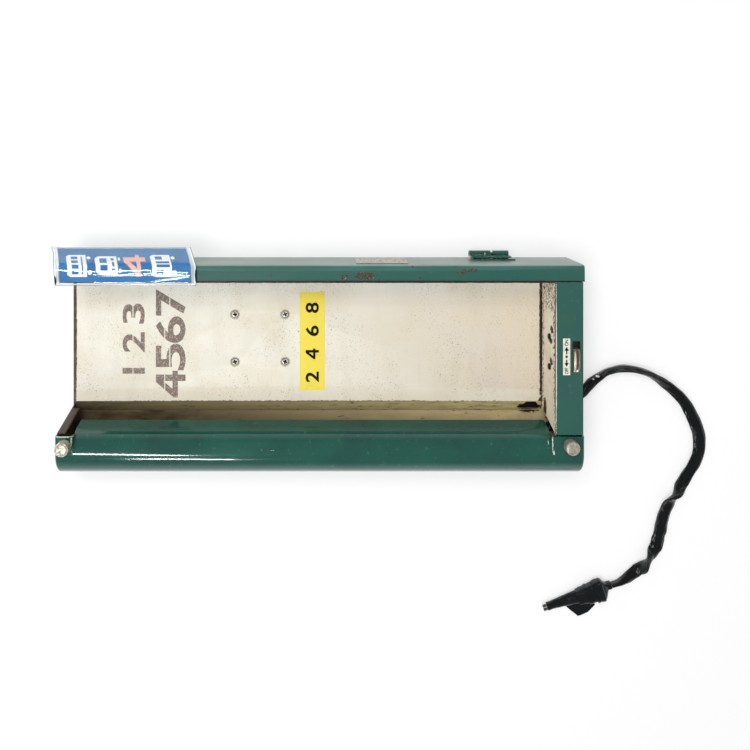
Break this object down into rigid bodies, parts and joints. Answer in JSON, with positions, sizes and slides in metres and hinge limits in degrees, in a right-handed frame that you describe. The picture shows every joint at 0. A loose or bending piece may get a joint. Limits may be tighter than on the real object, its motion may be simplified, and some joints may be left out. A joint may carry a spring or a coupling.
{
  "type": "timetable lamp",
  "caption": "Folded steel timetable lamp with a card plate under a lift-off half-round hood, a fluorescent tube, a slide switch box, a hinge and a short lead.",
  "frame": {"origin": "centre of the housing's back face, on the surface that it lies on", "axes": "+X along the tube, towards the switch box; +Y across, towards the card rail; +Z out of the card face"},
  "size_m": [0.6006, 0.3555, 0.068],
  "materials": {
    "cover_enamel": "gloss",
    "rail_enamel": "gloss",
    "plate_paint": "satin",
    "pan_paint": "matt",
    "bright_steel": "worn",
    "black_steel": "satin",
    "socket_plastic": "gloss",
    "tube_glass": "gloss",
    "cap_metal": "satin",
    "switch_plastic": "matt",
    "knob_metal": "worn",
    "label_tape": "satin",
    "yellow_tape": "satin",
    "name_plate": "satin",
    "clear_vinyl": "gloss",
    "blue_card": "matt",
    "black_rubber": "matt",
    "black_vinyl": "gloss",
    "wire_vinyl": "gloss",
    "terminal_metal": "worn",
    "core_steel": "matt"
  },
  "bodies": {
    "housing": {"back_pan": "pan_paint", "top_rail": "rail_enamel", "back_plate": "plate_paint", "plate_spacers": "bright_steel", "plate_screws": "bright_steel", "switch_box": "rail_enamel", "lamp_end_plate": "pan_paint", "cover_bracket": "pan_paint", "weld_nuts": "bright_steel", "lamp_socket_left": "socket_plastic", "lamp_socket_right": "socket_plastic", "starter_holder": "socket_plastic", "glow_starter": "cap_metal", "ballast": "core_steel", "terminal_block": "socket_plastic", "switch_body": "switch_plastic", "switch_screws": "black_steel", "switch_label": "label_tape", "name_label": "yellow_tape", "maker_plate": "name_plate", "hinge_fixed_leaf": "rail_enamel", "hinge_rivets": "rail_enamel", "hinge_pin": "bright_steel", "tag_tape": "clear_vinyl", "tag_sleeve": "clear_vinyl", "cord_grommet": "black_rubber", "inner_wires": "wire_vinyl", "cord": "black_vinyl", "connector_body": "black_vinyl", "connector_sleeve": "black_vinyl", "connector_terminals": "terminal_metal", "tape_flag": "black_vinyl"},
    "cover": {"lamp_cover": "cover_enamel"},
    "washer_left": {"retaining_washer_left": "bright_steel"},
    "screw_left": {"thumbscrew_left": "bright_steel"},
    "washer_right": {"retaining_washer_right": "bright_steel"},
    "screw_right": {"thumbscrew_right": "bright_steel"},
    "tube": {"lamp_tube": "tube_glass", "tube_cap_left": "cap_metal", "tube_cap_right": "cap_metal"},
    "knob": {"switch_knob": "knob_metal"},
    "hinge_leaf": {"hinge_moving_leaf": "rail_enamel"},
    "card": {"tag_card": "blue_card"}
  },
  "joints": [
    {"name": "cover_lift", "type": "slide", "parent": "housing", "child": "cover", "axis": [0, 0, 1], "range_m": [0, 0.06]},
    {"name": "screw_left_travel", "type": "slide", "parent": "cover", "child": "washer_left", "axis": [0, 0, 1], "range_m": [-0.0031, 0.0001]},
    {"name": "screw_left_turn", "type": "hinge", "parent": "washer_left", "child": "screw_left", "pos_m": [-0.2252, -0.0647, 0.055], "axis": [0, 0, 1], "range_deg": [-1350, 0]},
    {"name": "screw_right_travel", "type": "slide", "parent": "cover", "child": "washer_right", "axis": [0, 0, 1], "range_m": [-0.0001, 0.0031]},
    {"name": "screw_right_turn", "type": "hinge", "parent": "washer_right", "child": "screw_right", "pos_m": [0.222, -0.0647, 0.055], "axis": [0, 0, 1], "range_deg": [0, 1350]},
    {"name": "tube_turn", "type": "hinge", "parent": "housing", "child": "tube", "pos_m": [0, -0.0742, 0.0345], "axis": [1, 0, 0], "range_deg": [0, 90]},
    {"name": "switch_slide", "type": "slide", "parent": "housing", "child": "knob", "axis": [0, 1, 0], "range_m": [0, 0.006]},
    {"name": "hinge_open", "type": "hinge", "parent": "housing", "child": "hinge_leaf", "pos_m": [0.15885, 0.0994, 0.009], "axis": [-1, 0, 0], "range_deg": [0, 180]},
    {"name": "card_slide", "type": "slide", "parent": "housing", "child": "card", "axis": [-1, 0, 0], "range_m": [0, 0.11]}
  ],
  "couplings": [
    {"joint": "screw_left_travel", "follows": "screw_left_turn", "m_per_rad": 0.00012732},
    {"joint": "screw_right_travel", "follows": "screw_right_turn", "m_per_rad": 0.00012732}
  ]
}
